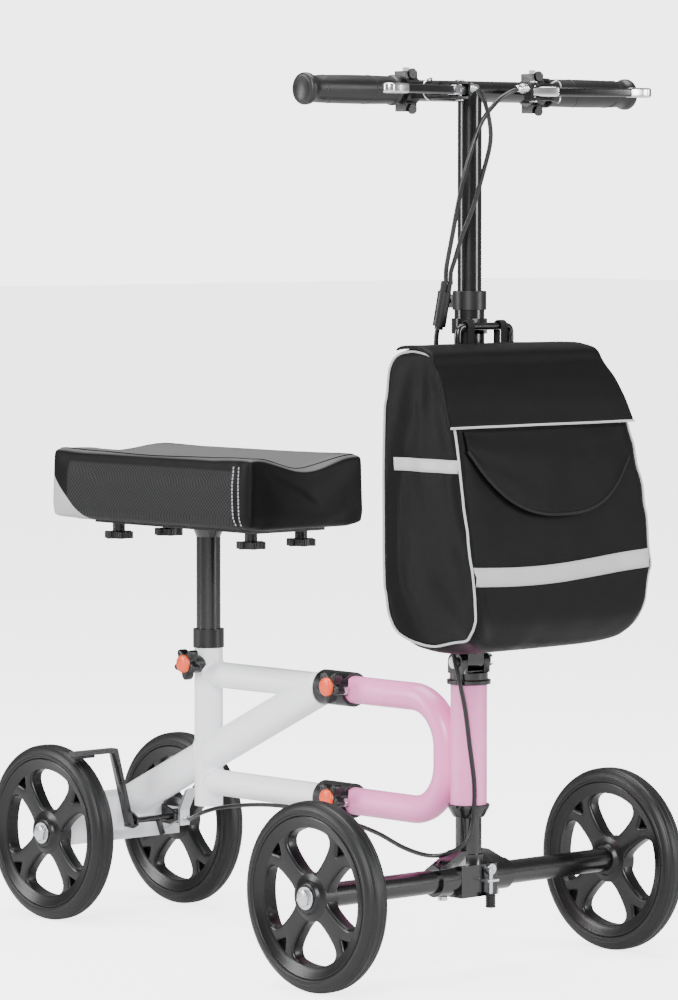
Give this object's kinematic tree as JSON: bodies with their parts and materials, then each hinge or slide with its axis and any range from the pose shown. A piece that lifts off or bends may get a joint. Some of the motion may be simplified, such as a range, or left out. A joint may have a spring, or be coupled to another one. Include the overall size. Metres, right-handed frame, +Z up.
{
  "type": "knee scooter",
  "caption": "Four-wheeled steerable knee scooter with a padded knee rest, folding column, twin brake levers, T-handlebar and a front bag.",
  "frame": {"origin": "on the ground under the middle of the overall box", "axes": "+Z up, -Y forwards along the direction of travel, -X to the right of a person riding it"},
  "size_m": [0.475, 0.828, 0.958],
  "materials": {
    "pink_paint": "gloss paint",
    "white_paint": "gloss paint",
    "black_paint": "gloss paint",
    "black_plastic": "moulded",
    "wheel_plastic": "moulded",
    "tyre_rubber": "matte",
    "grip_rubber": "matte",
    "zinc": "zinc plated",
    "alloy": "polished",
    "pad_cover": "synthetic leather and mesh",
    "bag_nylon": "woven nylon",
    "knob_orange": "moulded",
    "clear_button": "translucent"
  },
  "bodies": {
    "frame": {"front_frame": "pink_paint", "rear_frame": "white_paint", "couplers": "black_plastic", "headset_cups": "black_paint", "headset_bearings": "zinc", "seat_clamp": "black_plastic", "rear_axle": "zinc", "frame_fasteners": "zinc", "brake_bracket": "black_paint", "cable_stop": "zinc", "brake_wire": "zinc", "cable_rear": "black_plastic"},
    "steerer": {"steerer_tube": "black_paint", "axle_clamp": "black_paint", "front_axle": "black_paint", "fold_bracket": "black_paint", "fold_bolt": "zinc", "front_fasteners": "zinc"},
    "axle_lock": {"axle_lock_pin": "zinc"},
    "fold_release": {"fold_lever": "black_plastic"},
    "column": {"column_tube": "black_paint", "height_collar": "black_plastic", "bag_hanger": "black_paint", "bag": "bag_nylon", "cable_splitter": "black_plastic"},
    "bar": {"stem_tube": "black_paint", "handlebar": "black_paint", "grips": "grip_rubber", "lever_brackets": "black_plastic", "cable_adjusters": "alloy", "cable_left": "black_plastic", "cable_right": "black_plastic"},
    "lever_left": {"brake_lever_left": "alloy"},
    "lever_right": {"brake_lever_right": "alloy"},
    "button_left": {"lock_button_left": "clear_button"},
    "button_right": {"lock_button_right": "clear_button"},
    "seat": {"seat_post": "black_paint", "seat_plate": "black_paint", "seat_pad": "pad_cover"},
    "knob_upper": {"star_knob_upper": "knob_orange"},
    "knob_lower": {"star_knob_lower": "knob_orange"},
    "knob_seat": {"star_knob_seat": "knob_orange"},
    "brake": {"brake_arm": "black_paint", "brake_pad": "tyre_rubber"},
    "wheel_front_left_body": {"tyre_front_left": "tyre_rubber", "wheel_front_left": "wheel_plastic", "bearings_front_left": "zinc"},
    "wheel_front_right_body": {"tyre_front_right": "tyre_rubber", "wheel_front_right": "wheel_plastic", "bearings_front_right": "zinc"},
    "wheel_rear_left_body": {"tyre_rear_left": "tyre_rubber", "wheel_rear_left": "wheel_plastic", "bearings_rear_left": "zinc"},
    "wheel_rear_right_body": {"tyre_rear_right": "tyre_rubber", "wheel_rear_right": "wheel_plastic", "bearings_rear_right": "zinc"},
    "pad_knob_front_left_body": {"pad_knob_front_left": "black_plastic"},
    "pad_knob_front_right_body": {"pad_knob_front_right": "black_plastic"},
    "pad_knob_rear_left_body": {"pad_knob_rear_left": "black_plastic"},
    "pad_knob_rear_right_body": {"pad_knob_rear_right": "black_plastic"}
  },
  "joints": [
    {"name": "steering", "type": "hinge", "parent": "frame", "child": "steerer", "pos_m": [0, -0.272, 0.25], "axis": [0, 0, 1], "range_deg": [-40, 40], "deforming": ["cable_rear"]},
    {"name": "column_fold", "type": "hinge", "parent": "steerer", "child": "column", "pos_m": [0, -0.272, 0.331], "axis": [-1, 0, 0], "range_deg": [0, 42], "deforming": ["cable_rear"]},
    {"name": "fold_lever_swing", "type": "hinge", "parent": "steerer", "child": "fold_release", "pos_m": [0.0265, -0.272, 0.331], "axis": [0, 0, -1], "range_deg": [0, 90]},
    {"name": "axle_lock_pull", "type": "slide", "parent": "steerer", "child": "axle_lock", "axis": [0, 0, -1], "range_m": [0, 0.006], "stiffness_N_per_m": 500},
    {"name": "bar_height", "type": "slide", "parent": "column", "child": "bar", "axis": [0, 0, 1], "range_m": [-0.1, 0.08], "deforming": ["cable_left", "cable_right"]},
    {"name": "left_brake_lever", "type": "hinge", "parent": "bar", "child": "lever_left", "pos_m": [0.054, -0.313, 0.934], "axis": [0, 0, 1], "range_deg": [0, 20], "stiffness_Nm_per_rad": 0.6},
    {"name": "right_brake_lever", "type": "hinge", "parent": "bar", "child": "lever_right", "pos_m": [-0.054, -0.313, 0.934], "axis": [0, 0, -1], "range_deg": [0, 20], "stiffness_Nm_per_rad": 0.6},
    {"name": "left_lock_button", "type": "slide", "parent": "bar", "child": "button_left", "axis": [0, 0, -1], "range_m": [0, 0.003], "stiffness_N_per_m": 300},
    {"name": "right_lock_button", "type": "slide", "parent": "bar", "child": "button_right", "axis": [0, 0, -1], "range_m": [0, 0.003], "stiffness_N_per_m": 300},
    {"name": "front_left_wheel", "type": "hinge", "parent": "steerer", "child": "wheel_front_left_body", "pos_m": [0.218, -0.272, 0.1], "axis": [1, 0, 0], "continuous": true},
    {"name": "front_right_wheel", "type": "hinge", "parent": "steerer", "child": "wheel_front_right_body", "pos_m": [-0.218, -0.272, 0.1], "axis": [1, 0, 0], "continuous": true},
    {"name": "rear_left_wheel", "type": "hinge", "parent": "frame", "child": "wheel_rear_left_body", "pos_m": [0.0965, 0.314, 0.1], "axis": [1, 0, 0], "continuous": true},
    {"name": "rear_right_wheel", "type": "hinge", "parent": "frame", "child": "wheel_rear_right_body", "pos_m": [-0.0965, 0.314, 0.1], "axis": [1, 0, 0], "continuous": true},
    {"name": "seat_height", "type": "slide", "parent": "frame", "child": "seat", "axis": [0, 0, 1], "range_m": [-0.085, 0.03]},
    {"name": "upper_coupler_knob", "type": "hinge", "parent": "frame", "child": "knob_upper", "pos_m": [-0.03, -0.088, 0.291], "axis": [-1, 0, 0], "range_deg": [0, 360]},
    {"name": "lower_coupler_knob", "type": "hinge", "parent": "frame", "child": "knob_lower", "pos_m": [-0.03, -0.088, 0.169], "axis": [-1, 0, 0], "range_deg": [0, 360]},
    {"name": "seat_clamp_knob", "type": "hinge", "parent": "frame", "child": "knob_seat", "pos_m": [-0.03, 0.152, 0.299], "axis": [-1, 0, 0], "range_deg": [0, 360]},
    {"name": "pad_knob_front_left_turn", "type": "hinge", "parent": "seat", "child": "pad_knob_front_left_body", "pos_m": [0.037, 0.037, 0.45], "axis": [0, 0, 1], "range_deg": [0, 360]},
    {"name": "pad_knob_front_right_turn", "type": "hinge", "parent": "seat", "child": "pad_knob_front_right_body", "pos_m": [-0.037, 0.037, 0.45], "axis": [0, 0, 1], "range_deg": [0, 360]},
    {"name": "pad_knob_rear_left_turn", "type": "hinge", "parent": "seat", "child": "pad_knob_rear_left_body", "pos_m": [0.037, 0.265, 0.45], "axis": [0, 0, 1], "range_deg": [0, 360]},
    {"name": "pad_knob_rear_right_turn", "type": "hinge", "parent": "seat", "child": "pad_knob_rear_right_body", "pos_m": [-0.037, 0.265, 0.45], "axis": [0, 0, 1], "range_deg": [0, 360]},
    {"name": "rear_brake", "type": "hinge", "parent": "frame", "child": "brake", "pos_m": [0, 0.258, 0.112], "axis": [-1, 0, 0], "range_deg": [0, 2.6], "stiffness_Nm_per_rad": 0.5, "deforming": ["brake_wire"]}
  ],
  "couplings": [
    {"joint": "rear_brake", "follows": "right_brake_lever", "ratio": 0.13}
  ]
}
